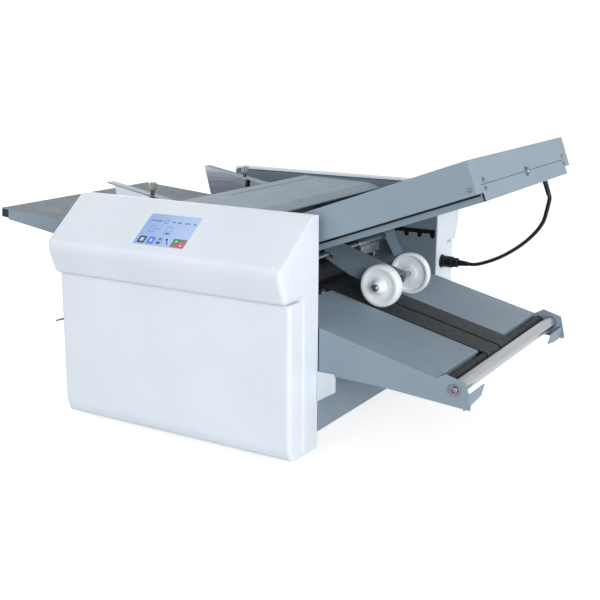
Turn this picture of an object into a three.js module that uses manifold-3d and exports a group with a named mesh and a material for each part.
// Table-top paper folding machine, millimetres, +Z up.
// +X is the way the folded sheets travel, -Y is the operator's side.
// The machine is laid out from the lower right end of its covers on the centre plane,
// then shifted so that the origin is under the middle of the whole machine.
import * as THREE from 'three';
import { mergeVertices } from 'three/addons/utils/BufferGeometryUtils.js';
import Module from 'manifold-3d';

const wasm = await Module();
wasm.setup();

// Fits and tools of construction
const FIT_GAP = 0.3;
const CUT_OVERRUN = 2;
const ROUND_SIDES = 24;
const SMALL_SIDES = 12;
const ARC_STEPS = 6;

// White covers, measured as a reach outwards from their inner faces and a height
const COVER_LENGTH = 361;
const COVER_INNER_HALF = 177;
const COVER_WALL = 3;
const COVER_TOP = 295;
const LEDGE_REACH = 17;
const NOSE_REACH = 85.5;
const NOSE_TOP = 243;
const NOSE_BOTTOM = 228;
const HOOD_EDGE_REACH = 74;
const HOOD_EDGE_HEIGHT = 197;
const COVER_BODY_REACH = 37;

// Door panels below the hoods
const DOOR_FACE_REACH = 65;
const DOOR_END_INSET = 0.5;
const DOOR_CHAMFER_HEIGHT = 17.6;
const DOOR_CHAMFER_DEPTH = 5.8;

// Touchscreen in the front slope
const SCREEN_WIDTH = 78;
const SCREEN_HEIGHT = 52;
const SCREEN_RIGHT = 147;
const SCREEN_RISE = 13;
const SCREEN_SINK = 0.8;
const SCREEN_FLANGE = 4;
const SCREEN_FLANGE_THICK = 2;

// Steel side plates
const SIDE_OUTER_HALF = 176.7;
const SIDE_THICK = 2;
const SIDE_END_INSET = 1;
const SIDE_BOTTOM = 21;
const SIDE_TOP = 291;

// Notched slot for the cross shaft of the wheel arm
const NOTCH_FIRST_X = -71.3;
const NOTCH_PITCH = 21.25;
const NOTCH_COUNT = 4;
const NOTCH_RADIUS = 4.2;
const NOTCH_BOTTOM = 210;
const BAND_BOTTOM = 216.5;
const BAND_TOP = 223;

// Base
const PAN_THICK = 2;
const PAN_RIGHT_X = -100;
const PAN_WALL_TOP = 75;
const BOX_TOP = 88;
const BOX_REAR_Y = 22;
const BOX_WALL = 1.5;

// Feet
const FOOT_RADIUS = 14;
const FOOT_HEIGHT = 28.7;
const FOOT_LEFT_INSET = 31;
const FOOT_RIGHT_X = -120;
const FOOT_HALF_SPAN = 130;

// Hinged lid over the fold rollers
const LID_HALF = 172;
const LID_SHEET = 2;
const LID_LEFT_X = -226;
const LID_LEFT_TOP = 290;
const LID_BEND_X = -112;
const LID_BEND_TOP = 287;
const LID_RIGHT_X = -94;
const LID_RIGHT_TOP = 281;
const LID_BLOCK_WIDTH = 10;
const LID_BLOCK_DEPTH = 12;
const LID_ROD_RADIUS = 2;
const LID_SLOT_X = -204;
const LID_SLOT_WIDTH = 3;
const LID_SLOT_FRONT_Y = -66;
const LID_SLOT_REAR_Y = 161;

// Infeed table, laid out from the top of its left end along its slope
const TABLE_LEFT_X = -541;
const TABLE_LEFT_TOP = 257;
const TABLE_TILT = 4.4;
const TABLE_HALF = 166.7;
const TABLE_SHEET = 1.5;
const TABLE_LENGTH = 382;
const TABLE_END_ALONG = 382;
const TABLE_FLANGE_LENGTH = 250;
const TABLE_FLANGE_START = 15.5;
const TABLE_FLANGE_END = 30.5;
const TABLE_PEG_ALONG = 235;
const TABLE_PEG_DEPTH = 15;
const STRIP_WIDTH = 13;
const STRIP_DEPTH = 11.6;

// Side guides of the infeed table and their clamping knobs
const GUIDE_INNER_HALF = 108.5;
const GUIDE_SHEET = 1.5;
const GUIDE_LEFT = 162;
const GUIDE_RIGHT = 306;
const GUIDE_HEIGHT = 57;
const GUIDE_FALL = 14;
const GUIDE_SLANT = 20;
const GUIDE_FLANGE = 15;
const GUIDE_FOOT_WIDTH = 16;
const GUIDE_FOOT_LENGTH = 40;
const KNOB_ALONG = 236;
const KNOB_HALF = 114;
const KNOB_RADIUS = 5.5;
const KNOB_HEIGHT = 11;
const KNOB_STAND = 56;
const KNOB_STEM_RADIUS = 2.7;
const KNOB_NUT_DEPTH = 6;
const GUIDE_TRAVEL_OUT = 44;
const GUIDE_TRAVEL_IN = 60;

// Feed roller and separator pad
const FEED_ALONG = 330;
const FEED_RADIUS = 17;
const FEED_HALF = 20;
const SHAFT_RADIUS = 4;
const PAD_LENGTH = 20;
const PAD_HALF = 14;
const PAD_DEPTH = 8;

// Stack of four fold rollers with gears on their front ends
const FOLD_COUNT = 4;
const FOLD_RADIUS = 14.85;
const FOLD_SPACING = 30.3;
const FOLD_TOP_X = -130.2;
const FOLD_TOP_Z = 234.8;
const FOLD_LEAN = 20;
const FOLD_HALF = 150;
const GEAR_TEETH = 20;
const GEAR_TIP_RADIUS = 16.2;
const GEAR_ROOT_RADIUS = 13.7;
const GEAR_TIP_HALF_ANGLE = 2.6;
const GEAR_ROOT_HALF_ANGLE = 6;
const GEAR_FACE_WIDTH = 8;
const GEAR_STAND = 3.3;

// Main motor, pulleys and drive belt
const MOTOR_X = -250;
const MOTOR_Z = 75;
const MOTOR_RADIUS = 35;
const MOTOR_LENGTH = 84;
const MOTOR_PULLEY_RADIUS = 10;
const FOLD_PULLEY_RADIUS = 20;
const PULLEY_WIDTH = 10;
const PULLEY_GAP = 2;
const BELT_THICK = 2;
const BELT_INSET = 1;

// Upper fold plate, laid out from the top of its right end
const PLATE1_END_X = 180.5;
const PLATE1_END_Z = 370;
const PLATE1_TILT = 20.15;
const PLATE1_HALF = 168;
const PLATE1_COVER_LENGTH = 228;
const PLATE1_COVER_DEPTH = 39.4;
const PLATE1_WALL = 2;
const PLATE1_SEAM = 30;
const SLAB_HALF = 149.5;
const SLAB_LENGTH = 318;
const SLAB_BOTTOM = 49.4;
const SLAB_SHEET = 2;
const SLAB_RAIL = 3;
const SHEET_GAP = 5.1;
const PLATE1_GUIDE_TOP = 31.3;
const SCREW_DEPTH = 20;
const SCREW_RADIUS = 4;
const SCREW_COLLAR_RADIUS = 6;
const SCREW_COLLAR_WIDTH = 3;
const SCREW_LEFT = 218;
const SCREW_RIGHT = 10;
const SCREW_TAIL = 2;
const LUG_THICK = 4;
const LUG_HALF = 8;
const LUG_TOP_MARGIN = 4;
const STOP_ALONG = 120;
const STOP_WIDTH = 8;
const STOP_HALF = 120;
const STOP_POST_HALF = 4;
const STOP_BLOCK_HALF = 9;
const STOP_SLOT_HALF = 5;
const STOP_TRAVEL = 80;
const PEG_RADIUS = 4;
const PLATE1_PEG_PLACES = [240, 300];
const PEG_DEPTH_IN_SKIRT = 5.5;

// Lower fold plate, laid out from its outer left end along its slope
const PLATE2_LEFT_X = -462;
const PLATE2_TILT = 16.5;
const PLATE2_END_GAP = 30;
const PLATE2_SKIRT_DEPTH = 9.5;
const PLATE2_TRAY_START = 16;
const PLATE2_PEG_PLACES = [116, 306];
const PLATE2_STOP_ALONG = 190;
const PLATE2_STOP_TRAVEL = 90;
const PLATE2_GRIP_HALF = 12;
const PLATE2_GRIP_HEIGHT = 9;

// Delivery conveyor, laid out from the deck top at the covers' right end
const CONVEYOR_TOP = 155.7;
const CONVEYOR_TILT = 13.6;
const CONVEYOR_HALF = 176;
const CONVEYOR_SHEET = 1.5;
const DECK_LEFT = -58;
const DECK_RIGHT = 160.5;
const DECK_INNER_HALF = 172;
const CHANNEL_HALF = 44.3;
const CHANNEL_DEPTH = 3.5;
const FLANGE_START_X = 0.6;
const FLANGE_START_DEPTH = 56.1;
const FLANGE_SLANT = 13.4;
const FLANGE_KNEE_X = 106.7;
const FLANGE_KNEE_DEPTH = 37.2;
const FLANGE_END_X = 210.6;
const FLANGE_END_DEPTH = 20.7;
const FLANGE_TOE_DEPTH = 16.9;
const CHEEK_LEFT_X = 171.2;
const CHEEK_RIGHT_X = 197.7;
const CHEEK_RISE = 9.8;
const CHEEK_RIGHT_RISE = 8.8;
const BRACKET_X = 202.6;
const BRACKET_WIDTH = 51;
const BRACKET_TOP = 4;
const BRACKET_BOTTOM = 24;
const BRACKET_INNER_BOTTOM = 19;
const BRACKET_FLAT = 18;
const CONVEYOR_PEG_X = -20;
const CONVEYOR_PEG_DEPTH = 3.4;
const CONVEYOR_PEG_RADIUS = 3;
const BELT_ROLLER_RADIUS = 6.2;
const CONVEYOR_BELT_THICK = 1.4;
const CONVEYOR_BELT_RISE = 0.6;
const CONVEYOR_BELT_NEAR = 2.5;
const CONVEYOR_BELT_FAR = 42;
const DRIVE_ROLLER_X = -68;
const DRIVE_ROLLER_HALF = 50;
const END_ROLLER_X = 169.2;
const ROLLER_END_GAP = 0.6;
const ROLLER_SHAFT_RADIUS = 3;
const TIP_ROLLER_X = 186.2;
const TIP_ROLLER_DEPTH = 4;
const TIP_ROLLER_RADIUS = 8.5;
const TIP_HEAD_RADIUS = 7.3;
const TIP_HEAD_THICK = 2.7;

// Wheel arm that presses the folded sheets on the belts
const ARM_HALF = 25;
const ARM_SHEET = 2;
const ARM_WEB = 1.5;
const ARM_SHAFT_RADIUS = 3.3;
const ARM_LEFT_X = -79;
const ARM_LEFT_TOP = 221;
const ARM_RIGHT_X = 22;
const ARM_RIGHT_TOP = 190.5;
const ARM_TONGUE_BOTTOM = 176;
const ARM_BELLY_X = -38;
const ARM_BELLY_BOTTOM = 188;
const ARM_HEEL_X = -76;
const ARM_HEEL_BOTTOM = 207;
const AXLE_X = 14.7;
const AXLE_Z = 182.7;
const AXLE_RADIUS = 3;
const AXLE_SHOULDER_RADIUS = 4;
const WHEEL_RADIUS = 28.6;
const WHEEL_WIDTH = 13;
const FRONT_WHEEL_Y = 31;
const REAR_WHEEL_Y = 48.5;
const WHEEL_HUB_REACH = 9;
const WHEEL_HUB_RADIUS = 10;
const WHEEL_HUB_TIP_RADIUS = 6;
const WHEEL_RIM_THICK = 4;
const WHEEL_WEB = 3.5;
const WHEEL_WEB_START = 5;
const WHEEL_EDGE = 1.2;
const NUT_RADIUS = 4.5;
const NUT_THICK = 4;

// Collar and sheet deflector on the arm's cross shaft
const HUB_WALL = 2;
const COLLAR_NEAR_Y = 56;
const COLLAR_FAR_Y = 126;
const COLLAR_LUG_HALF = 4;
const COLLAR_LUG_INSET = 6;
const COLLAR_LUG_DROP = 17;
const DEFLECTOR_NEAR_Y = 141;
const DEFLECTOR_FAR_Y = 172;
const DEFLECTOR_SHEET = 2;
const DEFLECTOR_RUN = 19;
const DEFLECTOR_DROP = 35;

// Rest block under the front edge of the conveyor
const REST_FAR_X = 24;
const REST_BOTTOM = 64;
const REST_TOP = 96.6;
const REST_FRONT_HALF = 180;
const REST_BACK_HALF = 173.5;
const REST_LIP_THICK = 3.5;
const REST_LIP_RISE = 4;

// Lead from the upper fold plate to the socket on the rear cover
const SOCKET_REACH = 19;
const SOCKET_Z = 173;
const SOCKET_RADIUS = 7;
const SOCKET_FLANGE_RADIUS = 10;
const SOCKET_FLANGE_THICK = 2;
const SOCKET_BODY_DEPTH = 12;
const PLUG_RADIUS = 8.5;
const PLUG_RING_RADIUS = 7.2;
const PLUG_LENGTH = 24.4;
const RELIEF_LENGTH = 16.6;
const RELIEF_WIDE_RADIUS = 5;
const RELIEF_NARROW_RADIUS = 3;
const GLAND_ALONG = 3.6;
const GLAND_Y = 65;
const GLAND_RADIUS = 3.3;
const GLAND_FLANGE = 3;
const GLAND_LENGTH = 17;
const GLAND_TIP_RADIUS = 3;
const CORD_RADIUS = 2.7;
const CORD_SIDES = 8;
const CORD_STEPS = 46;
// Route of the free lead between gland and plug, chosen by hand
const CORD_POINTS = [
  [200.9, 65, 304.9],
  [201.6, 65.4, 301],
  [199.8, 68, 293],
  [196, 74, 282],
  [190, 84, 268.5],
  [178.5, 99, 253.5],
  [161, 118.5, 236.5],
  [143, 136.5, 221.8],
  [122, 155, 207],
  [100, 172, 193.5],
  [79, 183.5, 183],
  [61.5, 191, 176],
  [51.5, 195, 173.4],
  [44.2, 196, 173],
];

// Mains inlet with its rocker switch, on the left wall of the base
const INLET_Y = 110;
const INLET_Z = 49;
const INLET_HALF_WIDTH = 25;
const INLET_HALF_HEIGHT = 13;
const INLET_FLANGE = 2;
const INLET_BODY_DEPTH = 20;
const INLET_BODY_MARGIN = 2.5;
const INLET_MOUTH_SHIFT = 9;
const INLET_MOUTH_HALF_WIDTH = 12;
const INLET_MOUTH_HALF_HEIGHT = 8;
const INLET_MOUTH_DEPTH = 14;
const ROCKER_SHIFT = 14.5;
const ROCKER_HALF_WIDTH = 5;
const ROCKER_HALF_HEIGHT = 8;
const ROCKER_DEPTH = 6;
const ROCKER_RISE = 1.5;
const ROCKER_TILT = 8;
const ROCKER_WELL_CLEARANCE = 1.2;

// Finishes seen on the object
const FINISHES = {
  whitePaint: { color: 0xdfe6ee, roughness: 0.5, metalness: 0 },
  greyPaint: { color: 0x8e9dae, roughness: 0.5, metalness: 0.1 },
  darkGreyPaint: { color: 0x6e7c88, roughness: 0.5, metalness: 0.1 },
  bareSteel: { color: 0xc2c6c8, roughness: 0.3, metalness: 1 },
  blackRubber: { color: 0x1a1b1d, roughness: 0.8, metalness: 0 },
  blackPlastic: { color: 0x15171a, roughness: 0.45, metalness: 0 },
  whitePlastic: { color: 0xeef1f4, roughness: 0.4, metalness: 0 },
  screenGlass: { color: 0xb4cdf4, roughness: 0.15, metalness: 0 },
  polishedSheet: { color: 0xc8cacc, roughness: 0.15, metalness: 1 },
  nickelPlate: { color: 0xbdb8b0, roughness: 0.25, metalness: 1 },
  zincPlate: { color: 0xa9adb0, roughness: 0.35, metalness: 0.9 },
};

const radians = THREE.MathUtils.degToRad;

const machine = new THREE.Group();

function addMesh(group, name, geometry, finish) {
  const mesh = new THREE.Mesh(geometry, new THREE.MeshStandardMaterial(FINISHES[finish]));
  mesh.name = name;
  group.add(mesh);
  return mesh;
}

function addTiltedGroup(x, z, tilt) {
  const group = new THREE.Group();
  group.position.set(x, 0, z);
  group.rotation.y = radians(tilt);
  machine.add(group);
  return group;
}

// Joining and cutting of closed meshes
function toSolid(geometry) {
  const bare = geometry.clone();
  bare.deleteAttribute('normal');
  bare.deleteAttribute('uv');
  const merged = mergeVertices(bare);
  return new wasm.Manifold(new wasm.Mesh({
    numProp: 3,
    vertProperties: new Float32Array(merged.attributes.position.array),
    triVerts: new Uint32Array(merged.index.array),
  }));
}

function toGeometry(solid) {
  const mesh = solid.getMesh();
  const geometry = new THREE.BufferGeometry();
  geometry.setAttribute('position', new THREE.BufferAttribute(mesh.vertProperties, 3));
  geometry.setIndex(new THREE.BufferAttribute(mesh.triVerts, 1));
  geometry.computeVertexNormals();
  return geometry;
}

function join(...geometries) {
  return toGeometry(geometries.map(toSolid).reduce((whole, piece) => whole.add(piece)));
}

function cut(geometry, ...tools) {
  return toGeometry(tools.map(toSolid).reduce((whole, tool) => whole.subtract(tool), toSolid(geometry)));
}

// Basic forms
function box(x0, x1, y0, y1, z0, z1) {
  const geometry = new THREE.BoxGeometry(x1 - x0, y1 - y0, z1 - z0);
  return geometry.translate((x0 + x1) / 2, (y0 + y1) / 2, (z0 + z1) / 2);
}

function outline(points) {
  return new THREE.Shape(points.map(([a, b]) => new THREE.Vector2(a, b)));
}

function extrude(shape, depth) {
  return new THREE.ExtrudeGeometry(shape, { depth, bevelEnabled: false, curveSegments: ARC_STEPS });
}

// A shape drawn in (x, z) and carried from y0 to y1
function alongY(shape, y0, y1) {
  return extrude(shape, y1 - y0).rotateX(Math.PI / 2).translate(0, y1, 0);
}

// A shape drawn in (y, z) and carried from x0 to x1
function alongX(shape, x0, x1) {
  const turn = new THREE.Matrix4().makeBasis(
    new THREE.Vector3(0, 1, 0), new THREE.Vector3(0, 0, 1), new THREE.Vector3(1, 0, 0));
  return extrude(shape, x1 - x0).applyMatrix4(turn).translate(x0, 0, 0);
}

function circle(x, z, radius) {
  return new THREE.Path().absarc(x, z, radius, 0, Math.PI * 2, true);
}

function rodY(radius, x, z, y0, y1, sides = SMALL_SIDES) {
  return new THREE.CylinderGeometry(radius, radius, y1 - y0, sides).translate(x, (y0 + y1) / 2, z);
}

// A turned piece along Y: its profile is a list of [radius, y]
function turnedY(profile, sides = ROUND_SIDES) {
  return new THREE.LatheGeometry(profile.map(([radius, y]) => new THREE.Vector2(radius, y)), sides);
}

// A solid turned rod: steps are [radius, y] from one end to the other
function turnedRod(steps, sides = ROUND_SIDES) {
  return turnedY([[0, steps[0][1]], ...steps, [0, steps[steps.length - 1][1]]], sides);
}

function place(mesh, x, y, z) {
  mesh.position.set(x, y, z);
  return mesh;
}

const sideInnerHalf = SIDE_OUTER_HALF - SIDE_THICK;
const pegHalf = sideInnerHalf - FIT_GAP;

// Places of the fold rollers, from the top one down
const foldStep = new THREE.Vector2(
  FOLD_SPACING * Math.sin(radians(FOLD_LEAN)), -FOLD_SPACING * Math.cos(radians(FOLD_LEAN)));
const foldPlaces = Array.from({ length: FOLD_COUNT }, (unused, i) => (
  new THREE.Vector2(FOLD_TOP_X + foldStep.x * i, FOLD_TOP_Z + foldStep.y * i)));

// Infeed table frame
const table = addTiltedGroup(TABLE_LEFT_X, TABLE_LEFT_TOP, TABLE_TILT);
const feedRise = FEED_RADIUS + FIT_GAP;
const feedPlace = new THREE.Vector2(
  TABLE_LEFT_X + FEED_ALONG * Math.cos(radians(TABLE_TILT)) + feedRise * Math.sin(radians(TABLE_TILT)),
  TABLE_LEFT_TOP - FEED_ALONG * Math.sin(radians(TABLE_TILT)) + feedRise * Math.cos(radians(TABLE_TILT)));

// Conveyor frame
const conveyor = addTiltedGroup(0, CONVEYOR_TOP, CONVEYOR_TILT);
const beltOuterRadius = BELT_ROLLER_RADIUS + FIT_GAP + CONVEYOR_BELT_THICK;
const beltAxisZ = CONVEYOR_BELT_RISE - beltOuterRadius;
const drivePlace = new THREE.Vector2(
  DRIVE_ROLLER_X * Math.cos(radians(CONVEYOR_TILT)) + beltAxisZ * Math.sin(radians(CONVEYOR_TILT)),
  CONVEYOR_TOP - DRIVE_ROLLER_X * Math.sin(radians(CONVEYOR_TILT))
    + beltAxisZ * Math.cos(radians(CONVEYOR_TILT)));

const armShaftPlace = new THREE.Vector2(NOTCH_FIRST_X, NOTCH_BOTTOM + FIT_GAP + ARM_SHAFT_RADIUS);
const lidRodPlace = new THREE.Vector2(
  LID_LEFT_X + LID_BLOCK_WIDTH / 2, LID_LEFT_TOP - LID_BLOCK_DEPTH / 2 - FIT_GAP);

// White covers and their door panels
const slopeAngle = Math.atan2(COVER_TOP - NOSE_TOP, NOSE_REACH - LEDGE_REACH);

function coverOutline(inset) {
  const open = inset > 0 ? -CUT_OVERRUN : 0;
  const noseDrop = inset * (1 - Math.sin(slopeAngle)) / Math.cos(slopeAngle);
  const ledgeShift = inset * (1 - Math.cos(slopeAngle)) / Math.sin(slopeAngle);
  return outline([
    [open, inset],
    [COVER_BODY_REACH - inset, inset],
    [COVER_BODY_REACH - inset, HOOD_EDGE_HEIGHT + inset],
    [HOOD_EDGE_REACH - inset, HOOD_EDGE_HEIGHT + inset],
    [NOSE_REACH - inset, NOSE_BOTTOM],
    [NOSE_REACH - inset, NOSE_TOP - noseDrop],
    [LEDGE_REACH - ledgeShift, COVER_TOP - inset],
    [open, COVER_TOP - inset],
  ]);
}

function coverShell() {
  return cut(
    alongX(coverOutline(0), 0, COVER_LENGTH),
    alongX(coverOutline(COVER_WALL), COVER_WALL, COVER_LENGTH - COVER_WALL));
}

function doorOutline(inset) {
  const back = COVER_BODY_REACH + FIT_GAP;
  const open = inset > 0 ? back - CUT_OVERRUN : back;
  const top = HOOD_EDGE_HEIGHT - FIT_GAP;
  return outline([
    [open, inset],
    [DOOR_FACE_REACH - DOOR_CHAMFER_DEPTH - inset, inset],
    [DOOR_FACE_REACH - inset, DOOR_CHAMFER_HEIGHT],
    [DOOR_FACE_REACH - inset, top - inset],
    [open, top - inset],
  ]);
}

function doorPanel() {
  const right = COVER_LENGTH - DOOR_END_INSET;
  return cut(
    alongX(doorOutline(0), DOOR_END_INSET, right),
    alongX(doorOutline(COVER_WALL), DOOR_END_INSET + COVER_WALL, right - COVER_WALL));
}

// The rear ones lie outwards along +Y, the front ones are turned half round
function toRear(geometry) {
  return geometry.translate(-COVER_LENGTH, COVER_INNER_HALF, 0);
}

function toFront(geometry) {
  return geometry.rotateZ(Math.PI).translate(0, -COVER_INNER_HALF, 0);
}

// Frame of the front slope: its x runs along the nose edge, y up the slope, z outwards
function onSlope(geometry) {
  return geometry.rotateX(slopeAngle).translate(0, -COVER_INNER_HALF - NOSE_REACH, NOSE_TOP);
}

const screenLeft = -SCREEN_RIGHT - SCREEN_WIDTH;
const screenTop = SCREEN_RISE + SCREEN_HEIGHT;
const screenHole = onSlope(box(
  screenLeft - FIT_GAP, -SCREEN_RIGHT + FIT_GAP,
  SCREEN_RISE - FIT_GAP, screenTop + FIT_GAP,
  -COVER_WALL - CUT_OVERRUN, CUT_OVERRUN));
addMesh(machine, 'front_cover', cut(toFront(coverShell()), screenHole), 'whitePaint');
addMesh(machine, 'front_door', toFront(doorPanel()), 'whitePaint');

const screenBack = -COVER_WALL - FIT_GAP;
addMesh(machine, 'touchscreen', onSlope(join(
  box(screenLeft, -SCREEN_RIGHT, SCREEN_RISE, screenTop, screenBack - SCREEN_FLANGE_THICK, -SCREEN_SINK),
  box(screenLeft - SCREEN_FLANGE, -SCREEN_RIGHT + SCREEN_FLANGE, SCREEN_RISE - SCREEN_FLANGE,
    screenTop + SCREEN_FLANGE, screenBack - SCREEN_FLANGE_THICK, screenBack))), 'screenGlass');

const socketY = COVER_INNER_HALF + SOCKET_REACH;
const socketHole = new THREE.CylinderGeometry(
  SOCKET_RADIUS + FIT_GAP, SOCKET_RADIUS + FIT_GAP, COVER_WALL + CUT_OVERRUN * 2, ROUND_SIDES)
  .rotateZ(-Math.PI / 2).translate(-COVER_WALL / 2, socketY, SOCKET_Z);
addMesh(machine, 'rear_cover', cut(toRear(coverShell()), socketHole), 'whitePaint');
addMesh(machine, 'rear_door', toRear(doorPanel()), 'whitePaint');

// Side plates with bearing holes and the notched slot
function notchedSlot() {
  const path = new THREE.Path();
  const notchX = (i) => NOTCH_FIRST_X + NOTCH_PITCH * i;
  const right = notchX(NOTCH_COUNT - 1) + NOTCH_RADIUS;
  path.moveTo(right, BAND_TOP);
  path.lineTo(notchX(0) - NOTCH_RADIUS, BAND_TOP);
  for (let i = 0; i < NOTCH_COUNT; i += 1) {
    path.lineTo(notchX(i) - NOTCH_RADIUS, BAND_BOTTOM);
    path.absarc(notchX(i), NOTCH_BOTTOM + NOTCH_RADIUS, NOTCH_RADIUS, Math.PI, Math.PI * 2, false);
    path.lineTo(notchX(i) + NOTCH_RADIUS, BAND_BOTTOM);
  }
  path.lineTo(right, BAND_TOP);
  return path;
}

function sidePlate(withMotorHole) {
  const left = -COVER_LENGTH + SIDE_END_INSET;
  const shape = outline([
    [left, SIDE_BOTTOM], [-SIDE_END_INSET, SIDE_BOTTOM], [-SIDE_END_INSET, SIDE_TOP], [left, SIDE_TOP],
  ]);
  const shaftHole = SHAFT_RADIUS + FIT_GAP;
  shape.holes.push(notchedSlot());
  foldPlaces.forEach((at) => shape.holes.push(circle(at.x, at.y, shaftHole)));
  shape.holes.push(circle(feedPlace.x, feedPlace.y, shaftHole));
  shape.holes.push(circle(drivePlace.x, drivePlace.y, ROLLER_SHAFT_RADIUS + FIT_GAP));
  if (withMotorHole) {
    shape.holes.push(circle(MOTOR_X, MOTOR_Z, shaftHole));
  }
  return shape;
}

addMesh(machine, 'front_side_plate',
  alongY(sidePlate(true), -SIDE_OUTER_HALF, -sideInnerHalf), 'darkGreyPaint');
addMesh(machine, 'rear_side_plate',
  alongY(sidePlate(false), sideInnerHalf, SIDE_OUTER_HALF), 'darkGreyPaint');

// Base pan, electronics box and feet
const panLeft = -COVER_LENGTH + SIDE_END_INSET;
const inletBodyWidth = INLET_HALF_WIDTH - INLET_BODY_MARGIN;
const inletBodyHeight = INLET_HALF_HEIGHT - INLET_BODY_MARGIN;
addMesh(machine, 'base_pan', cut(
  alongY(outline([
    [panLeft, SIDE_BOTTOM], [PAN_RIGHT_X, SIDE_BOTTOM], [PAN_RIGHT_X, SIDE_BOTTOM + PAN_THICK],
    [panLeft + PAN_THICK, SIDE_BOTTOM + PAN_THICK], [panLeft + PAN_THICK, PAN_WALL_TOP],
    [panLeft, PAN_WALL_TOP],
  ]), -pegHalf, pegHalf),
  box(panLeft - CUT_OVERRUN, panLeft + PAN_THICK + CUT_OVERRUN,
    INLET_Y - inletBodyWidth - FIT_GAP, INLET_Y + inletBodyWidth + FIT_GAP,
    INLET_Z - inletBodyHeight - FIT_GAP, INLET_Z + inletBodyHeight + FIT_GAP)), 'darkGreyPaint');

const boxLeft = PAN_RIGHT_X + FIT_GAP;
addMesh(machine, 'electronics_box', cut(
  box(boxLeft, 0, -pegHalf, BOX_REAR_Y, SIDE_BOTTOM, BOX_TOP),
  box(boxLeft + BOX_WALL, -BOX_WALL, -pegHalf + BOX_WALL, BOX_REAR_Y - BOX_WALL,
    SIDE_BOTTOM + BOX_WALL, BOX_TOP + CUT_OVERRUN)), 'greyPaint');

const footTop = SIDE_BOTTOM - FIT_GAP;
const footLeft = -COVER_LENGTH + FOOT_LEFT_INSET;
const footPlaces = {
  foot_front_left: [footLeft, -FOOT_HALF_SPAN],
  foot_front_right: [FOOT_RIGHT_X, -FOOT_HALF_SPAN],
  foot_rear_left: [footLeft, FOOT_HALF_SPAN],
  foot_rear_right: [FOOT_RIGHT_X, FOOT_HALF_SPAN],
};
Object.entries(footPlaces).forEach(([name, [x, y]]) => {
  const foot = new THREE.CylinderGeometry(FOOT_RADIUS, FOOT_RADIUS, FOOT_HEIGHT, ROUND_SIDES);
  const mesh = addMesh(machine, name, foot.rotateX(Math.PI / 2), 'blackRubber');
  place(mesh, x, y, footTop - FOOT_HEIGHT / 2);
});

// Hinged lid on its rod
function lidOutline() {
  const blockRight = LID_LEFT_X + LID_BLOCK_WIDTH;
  const fall = (LID_LEFT_TOP - LID_BEND_TOP) / (LID_BEND_X - LID_LEFT_X);
  const shape = outline([
    [LID_LEFT_X, LID_LEFT_TOP - LID_BLOCK_DEPTH],
    [blockRight, LID_LEFT_TOP - LID_BLOCK_DEPTH],
    [blockRight, LID_LEFT_TOP - LID_SHEET - fall * LID_BLOCK_WIDTH],
    [LID_BEND_X, LID_BEND_TOP - LID_SHEET],
    [LID_RIGHT_X, LID_RIGHT_TOP - LID_SHEET],
    [LID_RIGHT_X, LID_RIGHT_TOP],
    [LID_BEND_X, LID_BEND_TOP],
    [LID_LEFT_X, LID_LEFT_TOP],
  ]);
  shape.holes.push(circle(lidRodPlace.x, lidRodPlace.y, LID_ROD_RADIUS + FIT_GAP));
  return shape;
}

addMesh(machine, 'top_lid', cut(
  alongY(lidOutline(), -LID_HALF, LID_HALF),
  box(LID_SLOT_X - LID_SLOT_WIDTH / 2, LID_SLOT_X + LID_SLOT_WIDTH / 2,
    LID_SLOT_FRONT_Y, LID_SLOT_REAR_Y,
    LID_BEND_TOP - LID_SHEET * 2, LID_LEFT_TOP + CUT_OVERRUN)), 'greyPaint');
addMesh(machine, 'lid_rod',
  rodY(LID_ROD_RADIUS, lidRodPlace.x, lidRodPlace.y, -pegHalf, pegHalf), 'bareSteel');

// Infeed table: a sheet with side flanges that deepen towards the machine
const tableStart = TABLE_END_ALONG - TABLE_LENGTH;

function tableBlank() {
  const foot = -TABLE_FLANGE_END;
  const under = -TABLE_SHEET;
  return alongX(outline([
    [-TABLE_HALF, foot], [-flangeInner, foot], [-flangeInner, under],
    [flangeInner, under], [flangeInner, foot], [TABLE_HALF, foot], [TABLE_HALF, 0], [-TABLE_HALF, 0],
  ]), tableStart, TABLE_END_ALONG);
}

function flangeTrim() {
  const sheetStart = tableStart - CUT_OVERRUN;
  const stripRoom = tableStart + STRIP_WIDTH + FIT_GAP;
  const wide = TABLE_HALF + CUT_OVERRUN;
  const low = -TABLE_FLANGE_END - CUT_OVERRUN;
  return alongY(outline([
    [sheetStart, low], [TABLE_FLANGE_LENGTH, low], [TABLE_FLANGE_LENGTH, -TABLE_FLANGE_END],
    [stripRoom, -TABLE_FLANGE_START], [stripRoom, -TABLE_SHEET],
    [sheetStart, -TABLE_SHEET],
  ]), -wide, wide);
}

function flangeEnd(y0, y1) {
  return box(TABLE_FLANGE_LENGTH, TABLE_END_ALONG + CUT_OVERRUN, y0, y1,
    -TABLE_FLANGE_END - CUT_OVERRUN, -TABLE_SHEET);
}

const flangeInner = TABLE_HALF - TABLE_SHEET;
const pegRoot = TABLE_HALF - TABLE_SHEET / 2;
const slotNear = KNOB_HALF - GUIDE_TRAVEL_IN - KNOB_STEM_RADIUS - FIT_GAP;
const slotFar = KNOB_HALF + GUIDE_TRAVEL_OUT + KNOB_STEM_RADIUS + FIT_GAP;
const stemSlotHalf = KNOB_STEM_RADIUS + FIT_GAP;
const padStart = FEED_ALONG - PAD_LENGTH / 2;
const padEnd = FEED_ALONG + PAD_LENGTH / 2;

function guideSlot(y0, y1) {
  return box(KNOB_ALONG - stemSlotHalf, KNOB_ALONG + stemSlotHalf, y0, y1,
    -TABLE_SHEET - CUT_OVERRUN, CUT_OVERRUN);
}

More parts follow.
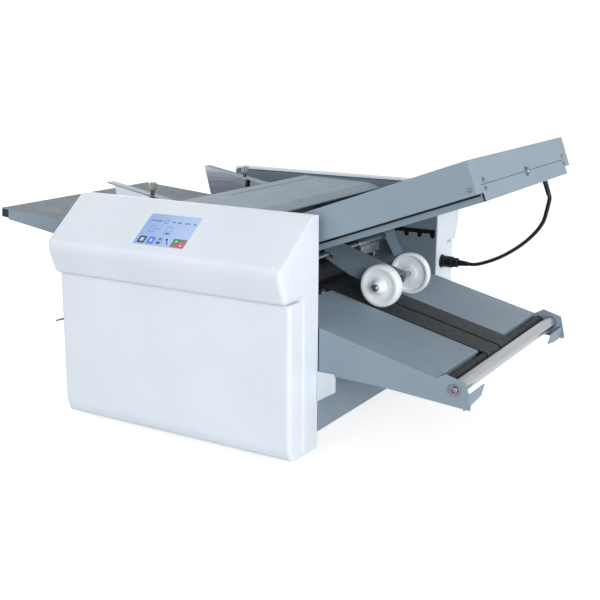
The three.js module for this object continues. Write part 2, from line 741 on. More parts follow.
addMesh(table, 'infeed_table', cut(
  join(
    cut(tableBlank(), flangeTrim(),
      flangeEnd(-TABLE_HALF - CUT_OVERRUN, -flangeInner),
      flangeEnd(flangeInner, TABLE_HALF + CUT_OVERRUN)),
    rodY(PEG_RADIUS, TABLE_PEG_ALONG, -TABLE_PEG_DEPTH, -pegHalf, -pegRoot),
    rodY(PEG_RADIUS, TABLE_PEG_ALONG, -TABLE_PEG_DEPTH, pegRoot, pegHalf)),
  guideSlot(-slotFar, -slotNear),
  guideSlot(slotNear, slotFar),
  box(padStart - FIT_GAP, padEnd + FIT_GAP, -PAD_HALF - FIT_GAP, PAD_HALF + FIT_GAP,
    -TABLE_SHEET - CUT_OVERRUN, CUT_OVERRUN)), 'darkGreyPaint');

const stripTop = -TABLE_SHEET - FIT_GAP;
addMesh(table, 'infeed_end_strip',
  box(tableStart, tableStart + STRIP_WIDTH, -TABLE_HALF, TABLE_HALF,
    stripTop - STRIP_DEPTH, stripTop), 'blackPlastic');

addMesh(table, 'separator_pad',
  box(padStart, padEnd, -PAD_HALF, PAD_HALF, -PAD_DEPTH, -FIT_GAP), 'blackRubber');

// Side guide drawn for the rear side, its wall standing at y = 0, foot and top flange outwards
function sideGuide() {
  const foot = FIT_GAP + GUIDE_SHEET;
  const flangeUnder = GUIDE_HEIGHT - GUIDE_SHEET;
  const wall = alongX(outline([
    [0, FIT_GAP], [GUIDE_SHEET, FIT_GAP], [GUIDE_SHEET, flangeUnder],
    [GUIDE_FLANGE, flangeUnder], [GUIDE_FLANGE, GUIDE_HEIGHT], [0, GUIDE_HEIGHT],
  ]), GUIDE_LEFT, GUIDE_RIGHT);
  const corners = wall.attributes.position;
  for (let i = 0; i < corners.count; i += 1) {
    const share = (corners.getX(i) - GUIDE_LEFT) / (GUIDE_RIGHT - GUIDE_LEFT);
    const fall = corners.getZ(i) > GUIDE_HEIGHT / 2 ? GUIDE_FALL * share : 0;
    corners.setZ(i, corners.getZ(i) - fall);
  }
  const slant = alongY(outline([
    [GUIDE_LEFT - CUT_OVERRUN, FIT_GAP - CUT_OVERRUN], [GUIDE_LEFT + GUIDE_SLANT, FIT_GAP - CUT_OVERRUN],
    [GUIDE_LEFT, flangeUnder], [GUIDE_LEFT - CUT_OVERRUN, flangeUnder],
  ]), -CUT_OVERRUN, GUIDE_SHEET + CUT_OVERRUN);
  return cut(
    join(
      wall,
      box(KNOB_ALONG - GUIDE_FOOT_LENGTH / 2, KNOB_ALONG + GUIDE_FOOT_LENGTH / 2,
        0, GUIDE_FOOT_WIDTH, FIT_GAP, foot)),
    slant,
    new THREE.CylinderGeometry(stemSlotHalf, stemSlotHalf, GUIDE_HEIGHT * 3, SMALL_SIDES)
      .rotateX(Math.PI / 2).translate(KNOB_ALONG, KNOB_HALF - GUIDE_INNER_HALF, 0));
}

// The mirror image across the centre plane, with its faces turned outwards again
function mirrored(geometry) {
  const image = geometry.clone().scale(1, -1, 1);
  const corners = image.index.array;
  for (let i = 0; i < corners.length; i += 3) {
    [corners[i], corners[i + 1]] = [corners[i + 1], corners[i]];
  }
  image.computeVertexNormals();
  return image;
}

function clampKnob() {
  const nutTop = -TABLE_SHEET - FIT_GAP;
  return turnedRod([
    [KNOB_RADIUS, nutTop - KNOB_NUT_DEPTH], [KNOB_RADIUS, nutTop], [KNOB_STEM_RADIUS, nutTop],
    [KNOB_STEM_RADIUS, KNOB_STAND], [KNOB_RADIUS, KNOB_STAND], [KNOB_RADIUS, KNOB_STAND + KNOB_HEIGHT],
  ], SMALL_SIDES).rotateX(Math.PI / 2);
}

place(addMesh(table, 'guide_front', mirrored(sideGuide()), 'polishedSheet'), 0, -GUIDE_INNER_HALF, 0);
place(addMesh(table, 'guide_rear', sideGuide(), 'polishedSheet'), 0, GUIDE_INNER_HALF, 0);
place(addMesh(table, 'knob_front', clampKnob(), 'nickelPlate'), KNOB_ALONG, -KNOB_HALF, 0);
place(addMesh(table, 'knob_rear', clampKnob(), 'nickelPlate'), KNOB_ALONG, KNOB_HALF, 0);

// Feed roller over the pad
const shaftEnd = SIDE_OUTER_HALF - FIT_GAP;
place(addMesh(machine, 'feed_roller', turnedRod([
  [SHAFT_RADIUS, -shaftEnd], [SHAFT_RADIUS, -FEED_HALF], [FEED_RADIUS, -FEED_HALF],
  [FEED_RADIUS, FEED_HALF], [SHAFT_RADIUS, FEED_HALF], [SHAFT_RADIUS, shaftEnd],
]), 'blackRubber'), feedPlace.x, 0, feedPlace.y);

// Fold rollers, each with its gear on the front end of the shaft
const gearBack = SIDE_OUTER_HALF + GEAR_STAND;
const gearFront = gearBack + GEAR_FACE_WIDTH;

function gearOutline(toothFirst, lean) {
  const pitch = Math.PI * 2 / GEAR_TEETH;
  const start = lean + (toothFirst ? 0 : pitch / 2);
  const root = radians(GEAR_ROOT_HALF_ANGLE);
  const tip = radians(GEAR_TIP_HALF_ANGLE);
  const points = [];
  for (let i = 0; i < GEAR_TEETH; i += 1) {
    const middle = start + pitch * i;
    [[GEAR_ROOT_RADIUS, -root], [GEAR_TIP_RADIUS, -tip], [GEAR_TIP_RADIUS, tip],
      [GEAR_ROOT_RADIUS, root]].forEach(([radius, turn]) => {
      points.push([radius * Math.cos(middle + turn), radius * Math.sin(middle + turn)]);
    });
  }
  return outline(points);
}

function foldRoller(index) {
  const isLast = index === FOLD_COUNT - 1;
  const frontEnd = isLast ? gearFront + PULLEY_GAP : gearFront;
  const roller = turnedRod([
    [SHAFT_RADIUS, -frontEnd], [SHAFT_RADIUS, -FOLD_HALF], [FOLD_RADIUS, -FOLD_HALF],
    [FOLD_RADIUS, FOLD_HALF], [SHAFT_RADIUS, FOLD_HALF], [SHAFT_RADIUS, shaftEnd],
  ]);
  const gear = alongY(gearOutline(index % 2 === 0, foldStep.angle()), -gearFront, -gearBack);
  if (!isLast) {
    return join(roller, gear);
  }
  const pulleyEnd = frontEnd + PULLEY_WIDTH;
  return join(roller, gear, rodY(FOLD_PULLEY_RADIUS, 0, 0, -pulleyEnd, -frontEnd, ROUND_SIDES));
}

foldPlaces.forEach((at, i) => {
  const mesh = addMesh(machine, `fold_roller_${i + 1}`, foldRoller(i), 'blackRubber');
  place(mesh, at.x, 0, at.y);
});

// Main motor with its pulley and belt, in the hollow of the front cover
const pulleyBack = gearFront + PULLEY_GAP;
const pulleyFront = pulleyBack + PULLEY_WIDTH;
addMesh(machine, 'main_motor',
  rodY(MOTOR_RADIUS, MOTOR_X, MOTOR_Z, -pegHalf, -pegHalf + MOTOR_LENGTH, ROUND_SIDES), 'zincPlate');
place(addMesh(machine, 'motor_pulley', turnedRod([
  [MOTOR_PULLEY_RADIUS, -pulleyFront], [MOTOR_PULLEY_RADIUS, -pulleyBack],
  [SHAFT_RADIUS, -pulleyBack], [SHAFT_RADIUS, -pegHalf - FIT_GAP],
]), 'zincPlate'), MOTOR_X, 0, MOTOR_Z);

// The closed line of a belt round two pulleys, at a distance outside them
function beltLine(target, from, fromRadius, to, toRadius) {
  const along = new THREE.Vector2().subVectors(to, from);
  const heading = along.angle();
  const spread = Math.acos((fromRadius - toRadius) / along.length());
  target.absarc(from.x, from.y, fromRadius, heading + spread, heading - spread + Math.PI * 2, false);
  target.absarc(to.x, to.y, toRadius, heading - spread, heading + spread, false);
  return target;
}

function beltShape(from, fromRadius, to, toRadius, thickness) {
  const inner = FIT_GAP;
  const outer = FIT_GAP + thickness;
  const shape = beltLine(new THREE.Shape(), from, fromRadius + outer, to, toRadius + outer);
  shape.holes.push(beltLine(new THREE.Path(), from, fromRadius + inner, to, toRadius + inner));
  return shape;
}

const motorPlace = new THREE.Vector2(MOTOR_X, MOTOR_Z);
addMesh(machine, 'drive_belt', alongY(
  beltShape(motorPlace, MOTOR_PULLEY_RADIUS, foldPlaces[FOLD_COUNT - 1], FOLD_PULLEY_RADIUS, BELT_THICK),
  -pulleyFront + BELT_INSET, -pulleyBack - BELT_INSET), 'blackRubber');

// A fold plate's lower half: a sheet with side rails above and a skirt below
function plateTray(length, sheetTop, skirtBottom, endTop, pegPlaces, pegZ) {
  const railTop = sheetTop + SHEET_GAP - FIT_GAP;
  const inner = SLAB_HALF - SLAB_RAIL;
  const pegs = pegPlaces.map((along) => rodY(PEG_RADIUS, along, pegZ, -pegHalf, pegHalf));
  return cut(
    join(box(0, length, -SLAB_HALF, SLAB_HALF, skirtBottom, endTop), ...pegs),
    box(SLAB_RAIL, length + CUT_OVERRUN, -SLAB_HALF - CUT_OVERRUN, SLAB_HALF + CUT_OVERRUN,
      railTop, endTop + CUT_OVERRUN),
    box(SLAB_RAIL, length + CUT_OVERRUN, -inner, inner, sheetTop, endTop + CUT_OVERRUN),
    box(SLAB_RAIL, length - SLAB_RAIL, -inner, inner,
      skirtBottom - CUT_OVERRUN, sheetTop - SLAB_SHEET));
}

// Upper fold plate, drawn from its right end towards -X
const plate1 = addTiltedGroup(PLATE1_END_X, PLATE1_END_Z, -PLATE1_TILT);
const plate1Inner = PLATE1_HALF - PLATE1_WALL;
addMesh(plate1, 'plate1_cover', cut(
  box(-PLATE1_COVER_LENGTH, 0, -PLATE1_HALF, PLATE1_HALF, -PLATE1_COVER_DEPTH, 0),
  box(-PLATE1_COVER_LENGTH + PLATE1_WALL, -PLATE1_WALL, -plate1Inner, plate1Inner,
    -PLATE1_COVER_DEPTH - CUT_OVERRUN, -PLATE1_WALL),
  box(-PLATE1_COVER_LENGTH - CUT_OVERRUN, CUT_OVERRUN, -SLAB_HALF - FIT_GAP, SLAB_HALF + FIT_GAP,
    -PLATE1_COVER_DEPTH - CUT_OVERRUN, -PLATE1_SEAM)), 'greyPaint');

const plate1GuideBottom = PLATE1_GUIDE_TOP + SLAB_SHEET;
const slabTop = plate1GuideBottom + SHEET_GAP;
addMesh(plate1, 'plate1_tray', plateTray(
  SLAB_LENGTH, -slabTop, -SLAB_BOTTOM, -PLATE1_SEAM - FIT_GAP,
  PLATE1_PEG_PLACES, -SLAB_BOTTOM + PEG_DEPTH_IN_SKIRT).rotateZ(Math.PI), 'greyPaint');

function screwLug(along) {
  return cut(
    box(along, along + LUG_THICK, -LUG_HALF, LUG_HALF,
      -PLATE1_GUIDE_TOP - SLAB_SHEET / 2, -SCREW_DEPTH + SCREW_COLLAR_RADIUS + LUG_TOP_MARGIN),
    alongRod(SCREW_RADIUS + FIT_GAP, along - CUT_OVERRUN, along + LUG_THICK + CUT_OVERRUN));
}

function alongRod(radius, x0, x1) {
  return new THREE.CylinderGeometry(radius, radius, x1 - x0, SMALL_SIDES)
    .rotateZ(-Math.PI / 2).translate((x0 + x1) / 2, 0, -SCREW_DEPTH);
}

const stopReach = STOP_TRAVEL + STOP_WIDTH / 2 + CUT_OVERRUN;
addMesh(plate1, 'plate1_guide', cut(
  join(
    box(-SLAB_LENGTH, -SLAB_RAIL - FIT_GAP, -SLAB_HALF, SLAB_HALF, -plate1GuideBottom, -PLATE1_GUIDE_TOP),
    screwLug(-SCREW_LEFT),
    screwLug(-SCREW_RIGHT - LUG_THICK)),
  box(-STOP_ALONG - stopReach, -STOP_ALONG + stopReach, -STOP_SLOT_HALF, STOP_SLOT_HALF,
    -plate1GuideBottom - CUT_OVERRUN, -PLATE1_GUIDE_TOP + CUT_OVERRUN)), 'darkGreyPaint');

const stopLeft = -STOP_ALONG - STOP_WIDTH / 2;
const stopRight = -STOP_ALONG + STOP_WIDTH / 2;
const stopTop = -plate1GuideBottom - FIT_GAP;
addMesh(plate1, 'plate1_stop', cut(
  join(
    box(stopLeft, stopRight, -STOP_HALF, STOP_HALF, -slabTop + FIT_GAP, stopTop),
    box(stopLeft, stopRight, -STOP_POST_HALF, STOP_POST_HALF, stopTop - FIT_GAP,
      -PLATE1_GUIDE_TOP + FIT_GAP * 2),
    box(stopLeft, stopRight, -STOP_BLOCK_HALF, STOP_BLOCK_HALF,
      -PLATE1_GUIDE_TOP + FIT_GAP, -SCREW_DEPTH + STOP_BLOCK_HALF)),
  alongRod(SCREW_RADIUS + FIT_GAP, stopLeft - CUT_OVERRUN, stopRight + CUT_OVERRUN)), 'bareSteel');

const leftCollar = -SCREW_LEFT + LUG_THICK + FIT_GAP;
const rightCollar = -SCREW_RIGHT - LUG_THICK - FIT_GAP;
place(addMesh(plate1, 'plate1_screw', turnedRod([
  [SCREW_RADIUS, -SCREW_LEFT - SCREW_TAIL], [SCREW_RADIUS, leftCollar],
  [SCREW_COLLAR_RADIUS, leftCollar], [SCREW_COLLAR_RADIUS, leftCollar + SCREW_COLLAR_WIDTH],
  [SCREW_RADIUS, leftCollar + SCREW_COLLAR_WIDTH], [SCREW_RADIUS, rightCollar - SCREW_COLLAR_WIDTH],
  [SCREW_COLLAR_RADIUS, rightCollar - SCREW_COLLAR_WIDTH], [SCREW_COLLAR_RADIUS, rightCollar],
  [SCREW_RADIUS, rightCollar], [SCREW_RADIUS, -SCREW_RIGHT + SCREW_TAIL],
], SMALL_SIDES).rotateZ(-Math.PI / 2), 'bareSteel'), 0, 0, -SCREW_DEPTH);

// Lower fold plate, drawn from its left end up towards the second and third fold rollers
const nip2 = foldPlaces[1].clone().add(foldPlaces[2]).multiplyScalar(1 / 2);
const plate2Rise = Math.tan(radians(PLATE2_TILT)) * (nip2.x - PLATE2_LEFT_X);
const plate2Length = (nip2.x - PLATE2_LEFT_X) / Math.cos(radians(PLATE2_TILT)) - PLATE2_END_GAP;
const plate2 = addTiltedGroup(PLATE2_LEFT_X, nip2.y - plate2Rise, -PLATE2_TILT);
const tray2Top = -SHEET_GAP / 2;
const guide2Bottom = SHEET_GAP / 2;
const guide2Top = guide2Bottom + SLAB_SHEET;
const tray2Bottom = tray2Top - PLATE2_SKIRT_DEPTH;
place(addMesh(plate2, 'plate2_tray', plateTray(
  plate2Length - PLATE2_TRAY_START, tray2Top, tray2Bottom, guide2Bottom - FIT_GAP,
  PLATE2_PEG_PLACES, tray2Bottom + PEG_DEPTH_IN_SKIRT), 'greyPaint'), PLATE2_TRAY_START, 0, 0);

const stop2Reach = PLATE2_STOP_TRAVEL + STOP_WIDTH / 2 + CUT_OVERRUN;
addMesh(plate2, 'plate2_guide', cut(
  box(0, plate2Length, -SLAB_HALF, SLAB_HALF, guide2Bottom, guide2Top),
  box(PLATE2_STOP_ALONG - stop2Reach, PLATE2_STOP_ALONG + stop2Reach, -STOP_SLOT_HALF, STOP_SLOT_HALF,
    guide2Bottom - CUT_OVERRUN, guide2Top + CUT_OVERRUN)), 'darkGreyPaint');

const stop2Left = PLATE2_STOP_ALONG - STOP_WIDTH / 2;
const stop2Right = PLATE2_STOP_ALONG + STOP_WIDTH / 2;
const gripBottom = guide2Top + FIT_GAP;
addMesh(plate2, 'plate2_stop', join(
  box(stop2Left, stop2Right, -STOP_HALF, STOP_HALF, tray2Top + FIT_GAP, guide2Bottom - FIT_GAP),
  box(stop2Left, stop2Right, -STOP_POST_HALF, STOP_POST_HALF, 0, gripBottom + FIT_GAP),
  box(stop2Left, stop2Right, -PLATE2_GRIP_HALF, PLATE2_GRIP_HALF,
    gripBottom, gripBottom + PLATE2_GRIP_HEIGHT)), 'bareSteel');

// Conveyor frame: a deck with a sunk channel for the belts between two folded side flanges
function deckOutline(half) {
  const under = -CONVEYOR_SHEET;
  const channelWall = CHANNEL_HALF + CONVEYOR_SHEET;
  const floor = -CHANNEL_DEPTH - CONVEYOR_SHEET;
  return outline([
    [-half, 0], [-half, under], [-channelWall, under], [-channelWall, floor],
    [channelWall, floor], [channelWall, under], [half, under], [half, 0],
    [CHANNEL_HALF, 0], [CHANNEL_HALF, -CHANNEL_DEPTH], [-CHANNEL_HALF, -CHANNEL_DEPTH], [-CHANNEL_HALF, 0],
  ]);
}

function conveyorFlange(y0, y1) {
  const shape = outline([
    [FLANGE_START_X, 0], [FLANGE_START_X + FLANGE_SLANT, -FLANGE_START_DEPTH],
    [FLANGE_KNEE_X, -FLANGE_KNEE_DEPTH], [FLANGE_END_X, -FLANGE_END_DEPTH],
    [FLANGE_END_X, -FLANGE_TOE_DEPTH], [CHEEK_RIGHT_X, CHEEK_RIGHT_RISE],
    [CHEEK_LEFT_X, CHEEK_RISE], [DECK_RIGHT, 0],
  ]);
  const hole = ROLLER_SHAFT_RADIUS + FIT_GAP;
  shape.holes.push(circle(TIP_ROLLER_X, -TIP_ROLLER_DEPTH, hole));
  return alongY(shape, y0, y1);
}

function endBracket() {
  const outer = CONVEYOR_HALF;
  const inner = CONVEYOR_HALF - BRACKET_WIDTH;
  return alongX(outline([
    [-outer, -BRACKET_TOP], [-outer, -BRACKET_BOTTOM], [-outer + BRACKET_FLAT, -BRACKET_BOTTOM],
    [-inner, -BRACKET_INNER_BOTTOM], [-inner, -BRACKET_TOP],
  ]), BRACKET_X, BRACKET_X + CONVEYOR_SHEET);
}

const flangeFace = CONVEYOR_HALF - CONVEYOR_SHEET;
const frontBracket = join(endBracket());
const conveyorPegs = [-1, 1].map((side) => {
  const near = side * (DECK_INNER_HALF - CUT_OVERRUN);
  return rodY(CONVEYOR_PEG_RADIUS, CONVEYOR_PEG_X, -CONVEYOR_PEG_DEPTH,
    Math.min(near, side * pegHalf), Math.max(near, side * pegHalf));
});
addMesh(conveyor, 'conveyor_frame', join(
  alongX(deckOutline(DECK_INNER_HALF), DECK_LEFT, FLANGE_START_X * 2),
  alongX(deckOutline(flangeFace + CONVEYOR_SHEET / 2), FLANGE_START_X, DECK_RIGHT),
  conveyorFlange(-CONVEYOR_HALF, -flangeFace),
  conveyorFlange(flangeFace, CONVEYOR_HALF),
  frontBracket,
  mirrored(frontBracket),
  ...conveyorPegs), 'greyPaint');

const driveAxis = new THREE.Vector2(DRIVE_ROLLER_X, beltAxisZ);
const endAxis = new THREE.Vector2(END_ROLLER_X, beltAxisZ);
const conveyorBelt = beltShape(
  driveAxis, BELT_ROLLER_RADIUS, endAxis, BELT_ROLLER_RADIUS, CONVEYOR_BELT_THICK);
addMesh(conveyor, 'conveyor_belt_front',
  alongY(conveyorBelt, -CONVEYOR_BELT_FAR, -CONVEYOR_BELT_NEAR), 'blackRubber');
addMesh(conveyor, 'conveyor_belt_rear',
  alongY(conveyorBelt, CONVEYOR_BELT_NEAR, CONVEYOR_BELT_FAR), 'blackRubber');

function spindle(rollerRadius, rollerHalf, shaftHalf) {
  return turnedRod([
    [ROLLER_SHAFT_RADIUS, -shaftHalf], [ROLLER_SHAFT_RADIUS, -rollerHalf], [rollerRadius, -rollerHalf],
    [rollerRadius, rollerHalf], [ROLLER_SHAFT_RADIUS, rollerHalf], [ROLLER_SHAFT_RADIUS, shaftHalf],
  ]);
}

const deckRollerHalf = flangeFace - ROLLER_END_GAP;
place(addMesh(conveyor, 'conveyor_drive_roller',
  spindle(BELT_ROLLER_RADIUS, DRIVE_ROLLER_HALF, shaftEnd), 'zincPlate'), DRIVE_ROLLER_X, 0, beltAxisZ);
place(addMesh(conveyor, 'conveyor_end_roller',
  spindle(BELT_ROLLER_RADIUS, deckRollerHalf, flangeFace - FIT_GAP), 'blackRubber'),
END_ROLLER_X, 0, beltAxisZ);
place(addMesh(conveyor, 'conveyor_tip_roller', turnedY([
  [ROLLER_SHAFT_RADIUS + FIT_GAP, -deckRollerHalf], [TIP_ROLLER_RADIUS, -deckRollerHalf],
  [TIP_ROLLER_RADIUS, deckRollerHalf], [ROLLER_SHAFT_RADIUS + FIT_GAP, deckRollerHalf],
  [ROLLER_SHAFT_RADIUS + FIT_GAP, -deckRollerHalf],
]), 'bareSteel'), TIP_ROLLER_X, 0, -TIP_ROLLER_DEPTH);

const headBack = CONVEYOR_HALF + FIT_GAP;
const headFace = headBack + TIP_HEAD_THICK;
place(addMesh(conveyor, 'conveyor_tip_axle', turnedRod([
  [TIP_HEAD_RADIUS, -headFace], [TIP_HEAD_RADIUS, -headBack], [ROLLER_SHAFT_RADIUS, -headBack],
  [ROLLER_SHAFT_RADIUS, headBack], [TIP_HEAD_RADIUS, headBack], [TIP_HEAD_RADIUS, headFace],
]), 'zincPlate'), TIP_ROLLER_X, 0, -TIP_ROLLER_DEPTH);

// Wheel arm on its cross shaft
addMesh(machine, 'arm_shaft',
  rodY(ARM_SHAFT_RADIUS, armShaftPlace.x, armShaftPlace.y, -shaftEnd, shaftEnd), 'zincPlate');

const armCheek = [
  [ARM_LEFT_X, ARM_LEFT_TOP], [ARM_HEEL_X, ARM_HEEL_BOTTOM], [ARM_BELLY_X, ARM_BELLY_BOTTOM],
  [AXLE_X - NUT_RADIUS * 2, ARM_TONGUE_BOTTOM], [AXLE_X + NUT_RADIUS, ARM_TONGUE_BOTTOM],
  [ARM_RIGHT_X, AXLE_Z], [ARM_RIGHT_X, ARM_RIGHT_TOP],
];
const armHoles = [
  rodY(ARM_SHAFT_RADIUS + FIT_GAP, armShaftPlace.x, armShaftPlace.y, -ARM_HALF - CUT_OVERRUN,
    ARM_HALF + CUT_OVERRUN),
  rodY(AXLE_RADIUS + FIT_GAP, AXLE_X, AXLE_Z, -ARM_HALF - CUT_OVERRUN, ARM_HALF + CUT_OVERRUN),
];
addMesh(machine, 'wheel_arm', cut(
  join(
    alongY(outline(armCheek), -ARM_HALF, -ARM_HALF + ARM_SHEET),
    alongY(outline(armCheek), ARM_HALF - ARM_SHEET, ARM_HALF),
    alongY(outline([
      [ARM_LEFT_X, ARM_LEFT_TOP], [ARM_LEFT_X, ARM_LEFT_TOP - ARM_WEB],
      [ARM_RIGHT_X, ARM_RIGHT_TOP - ARM_WEB], [ARM_RIGHT_X, ARM_RIGHT_TOP],
    ]), -ARM_HALF, ARM_HALF)),
  ...armHoles), 'darkGreyPaint');

// Dished wheels with a long hub, drawn outwards from their inner face
function wheelProfile() {
  const hubEnd = WHEEL_WIDTH + WHEEL_HUB_REACH;
  const bore = AXLE_RADIUS + FIT_GAP;
  const rimInner = WHEEL_RADIUS - WHEEL_RIM_THICK;
  const webEnd = WHEEL_WEB_START + WHEEL_WEB;
  return [
    [bore, WHEEL_EDGE], [WHEEL_HUB_RADIUS, WHEEL_EDGE], [WHEEL_HUB_RADIUS, WHEEL_WEB_START],
    [rimInner, WHEEL_WEB_START], [rimInner, 0], [WHEEL_RADIUS - WHEEL_EDGE, 0],
    [WHEEL_RADIUS, WHEEL_EDGE], [WHEEL_RADIUS, WHEEL_WIDTH - WHEEL_EDGE],
    [WHEEL_RADIUS - WHEEL_EDGE, WHEEL_WIDTH], [rimInner + WHEEL_EDGE, WHEEL_WIDTH],
    [rimInner - WHEEL_EDGE, webEnd + WHEEL_EDGE], [WHEEL_HUB_RADIUS + WHEEL_EDGE, webEnd],
    [WHEEL_HUB_TIP_RADIUS, hubEnd], [bore, hubEnd], [bore, WHEEL_EDGE],
  ];
}

const frontWheelProfile = wheelProfile().map(([radius, y]) => [radius, -FRONT_WHEEL_Y - y]).reverse();
const rearWheelProfile = wheelProfile().map(([radius, y]) => [radius, REAR_WHEEL_Y + y]);
place(addMesh(machine, 'wheel_front', turnedY(frontWheelProfile), 'whitePlastic'), AXLE_X, 0, AXLE_Z);
place(addMesh(machine, 'wheel_rear', turnedY(rearWheelProfile), 'whitePlastic'), AXLE_X, 0, AXLE_Z);

const frontNut = -FRONT_WHEEL_Y - WHEEL_WIDTH - WHEEL_HUB_REACH - FIT_GAP;
const rearNut = REAR_WHEEL_Y + WHEEL_WIDTH + WHEEL_HUB_REACH + FIT_GAP;
const shoulderStart = ARM_HALF + FIT_GAP;
const shoulderEnd = REAR_WHEEL_Y + WHEEL_EDGE - FIT_GAP;
place(addMesh(machine, 'wheel_axle', turnedRod([
  [NUT_RADIUS, frontNut - NUT_THICK], [NUT_RADIUS, frontNut], [AXLE_RADIUS, frontNut],
  [AXLE_RADIUS, shoulderStart], [AXLE_SHOULDER_RADIUS, shoulderStart],
  [AXLE_SHOULDER_RADIUS, shoulderEnd], [AXLE_RADIUS, shoulderEnd],
  [AXLE_RADIUS, rearNut], [NUT_RADIUS, rearNut], [NUT_RADIUS, rearNut + NUT_THICK],
], SMALL_SIDES), 'zincPlate'), AXLE_X, 0, AXLE_Z);

// Collar and drooping deflector on the same cross shaft
const hubRadius = ARM_SHAFT_RADIUS + FIT_GAP + HUB_WALL;
const hubTop = armShaftPlace.y + hubRadius;

function shaftHub(y0, y1) {
  return rodY(hubRadius, armShaftPlace.x, armShaftPlace.y, y0, y1);
}

function shaftBore(y0, y1) {
  return rodY(ARM_SHAFT_RADIUS + FIT_GAP, armShaftPlace.x, armShaftPlace.y,
    y0 - CUT_OVERRUN, y1 + CUT_OVERRUN);
}

addMesh(machine, 'shaft_collar', cut(
  join(
    shaftHub(COLLAR_NEAR_Y, COLLAR_FAR_Y),
    box(armShaftPlace.x - COLLAR_LUG_HALF, armShaftPlace.x + COLLAR_LUG_HALF,
      COLLAR_NEAR_Y + COLLAR_LUG_INSET, COLLAR_FAR_Y - COLLAR_LUG_INSET,
      armShaftPlace.y - COLLAR_LUG_DROP, armShaftPlace.y)),
  shaftBore(COLLAR_NEAR_Y, COLLAR_FAR_Y)), 'bareSteel');

addMesh(machine, 'sheet_deflector', cut(
  join(
    shaftHub(DEFLECTOR_NEAR_Y, DEFLECTOR_FAR_Y),
    alongY(outline([
      [armShaftPlace.x, hubTop], [armShaftPlace.x - DEFLECTOR_SHEET, hubTop - DEFLECTOR_SHEET],
      [armShaftPlace.x + DEFLECTOR_RUN - DEFLECTOR_SHEET, hubTop - DEFLECTOR_DROP],
      [armShaftPlace.x + DEFLECTOR_RUN, hubTop - DEFLECTOR_DROP],
    ]), DEFLECTOR_NEAR_Y, DEFLECTOR_FAR_Y)),
  shaftBore(DEFLECTOR_NEAR_Y, DEFLECTOR_FAR_Y)), 'zincPlate');

// Rest block that carries the front edge of the conveyor
addMesh(machine, 'conveyor_rest', alongX(outline([
  [-REST_FRONT_HALF, REST_BOTTOM], [-REST_BACK_HALF, REST_BOTTOM], [-REST_BACK_HALF, REST_TOP],
  [-REST_FRONT_HALF + REST_LIP_THICK, REST_TOP],
  [-REST_FRONT_HALF + REST_LIP_THICK, REST_TOP + REST_LIP_RISE],
  [-REST_FRONT_HALF, REST_TOP + REST_LIP_RISE],
]), FIT_GAP, REST_FAR_X), 'whitePlastic');

// Socket in the right face of the rear cover
function turnedX(profile, sides = ROUND_SIDES) {
  return turnedRod(profile, sides).rotateZ(-Math.PI / 2);
}

const plugStart = FIT_GAP * 2 + SOCKET_FLANGE_THICK;
place(addMesh(machine, 'socket', turnedX([
  [SOCKET_RADIUS, -SOCKET_BODY_DEPTH], [SOCKET_RADIUS, FIT_GAP], [SOCKET_FLANGE_RADIUS, FIT_GAP],
  [SOCKET_FLANGE_RADIUS, FIT_GAP + SOCKET_FLANGE_THICK],
]), 'blackPlastic'), 0, socketY, SOCKET_Z);

// Mains inlet with its rocker switch in the left wall of the base
const inletFace = panLeft - FIT_GAP - INLET_FLANGE;
const mouthY = INLET_Y + INLET_MOUTH_SHIFT;
const rockerY = INLET_Y - ROCKER_SHIFT;
const wellHalfWidth = ROCKER_HALF_WIDTH + FIT_GAP;
const wellHalfHeight = ROCKER_HALF_HEIGHT + ROCKER_WELL_CLEARANCE;
addMesh(machine, 'power_inlet', cut(
  join(
    box(inletFace, panLeft - FIT_GAP, INLET_Y - INLET_HALF_WIDTH, INLET_Y + INLET_HALF_WIDTH,
      INLET_Z - INLET_HALF_HEIGHT, INLET_Z + INLET_HALF_HEIGHT),
    box(inletFace, inletFace + INLET_BODY_DEPTH, INLET_Y - inletBodyWidth, INLET_Y + inletBodyWidth,
      INLET_Z - inletBodyHeight, INLET_Z + inletBodyHeight)),
  box(inletFace - CUT_OVERRUN, inletFace + INLET_MOUTH_DEPTH,
    mouthY - INLET_MOUTH_HALF_WIDTH, mouthY + INLET_MOUTH_HALF_WIDTH,
    INLET_Z - INLET_MOUTH_HALF_HEIGHT, INLET_Z + INLET_MOUTH_HALF_HEIGHT),
  box(inletFace - CUT_OVERRUN, inletFace + INLET_MOUTH_DEPTH,
    rockerY - wellHalfWidth, rockerY + wellHalfWidth,
    INLET_Z - wellHalfHeight, INLET_Z + wellHalfHeight)), 'blackPlastic');

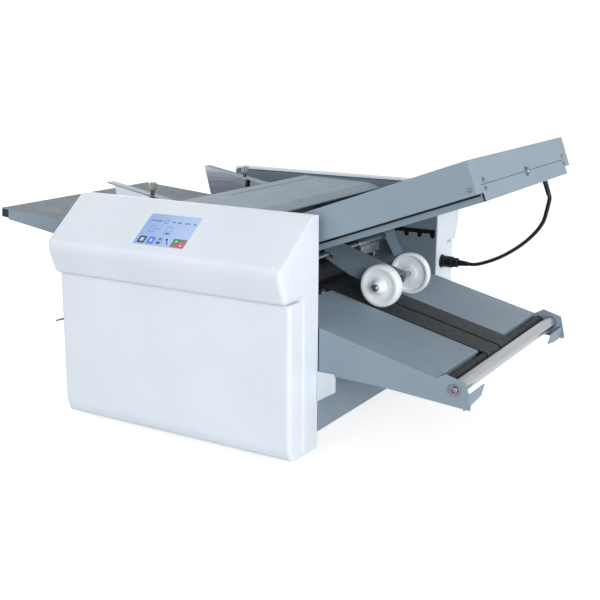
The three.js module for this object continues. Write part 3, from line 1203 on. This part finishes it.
const rocker = addMesh(machine, 'power_switch', alongY(outline([
  [-ROCKER_RISE, -ROCKER_HALF_HEIGHT], [ROCKER_DEPTH, -ROCKER_HALF_HEIGHT / 2],
  [ROCKER_DEPTH, ROCKER_HALF_HEIGHT / 2], [-ROCKER_RISE, ROCKER_HALF_HEIGHT], [0, 0],
]), -ROCKER_HALF_WIDTH, ROCKER_HALF_WIDTH), 'blackPlastic');
place(rocker, inletFace, rockerY, INLET_Z);
rocker.rotation.y = radians(ROCKER_TILT);

// The origin is taken here, before the free lead is added
const extent = new THREE.Box3().setFromObject(machine, true);
machine.position.set(
  -(extent.min.x + extent.max.x) / 2, -(extent.min.y + extent.max.y) / 2, -extent.min.z);

// Plug, gland and free lead
place(addMesh(machine, 'plug', turnedX([
  [PLUG_RADIUS, 0], [PLUG_RADIUS, PLUG_LENGTH * 2 / 3], [PLUG_RING_RADIUS, PLUG_LENGTH * 2 / 3],
  [PLUG_RING_RADIUS, PLUG_LENGTH], [RELIEF_WIDE_RADIUS, PLUG_LENGTH],
  [RELIEF_NARROW_RADIUS, PLUG_LENGTH + RELIEF_LENGTH],
]), 'blackPlastic'), plugStart, socketY, SOCKET_Z);

place(addMesh(plate1, 'cord_gland', turnedRod([
  [GLAND_TIP_RADIUS, -GLAND_LENGTH], [GLAND_RADIUS, -GLAND_FLANGE], [GLAND_RADIUS, -FIT_GAP],
], SMALL_SIDES).rotateX(Math.PI / 2), 'blackPlastic'), -GLAND_ALONG, GLAND_Y, -SLAB_BOTTOM);

const cordRoute = new THREE.CatmullRomCurve3(CORD_POINTS.map(([x, y, z]) => new THREE.Vector3(x, y, z)));
const cordSection = outline(Array.from({ length: CORD_SIDES }, (unused, i) => {
  const turn = Math.PI * 2 * i / CORD_SIDES;
  return [CORD_RADIUS * Math.cos(turn), CORD_RADIUS * Math.sin(turn)];
}));
addMesh(machine, 'cord', new THREE.ExtrudeGeometry(cordSection, {
  steps: CORD_STEPS, extrudePath: cordRoute, bevelEnabled: false,
}), 'blackPlastic');

export default new THREE.Group().add(machine);
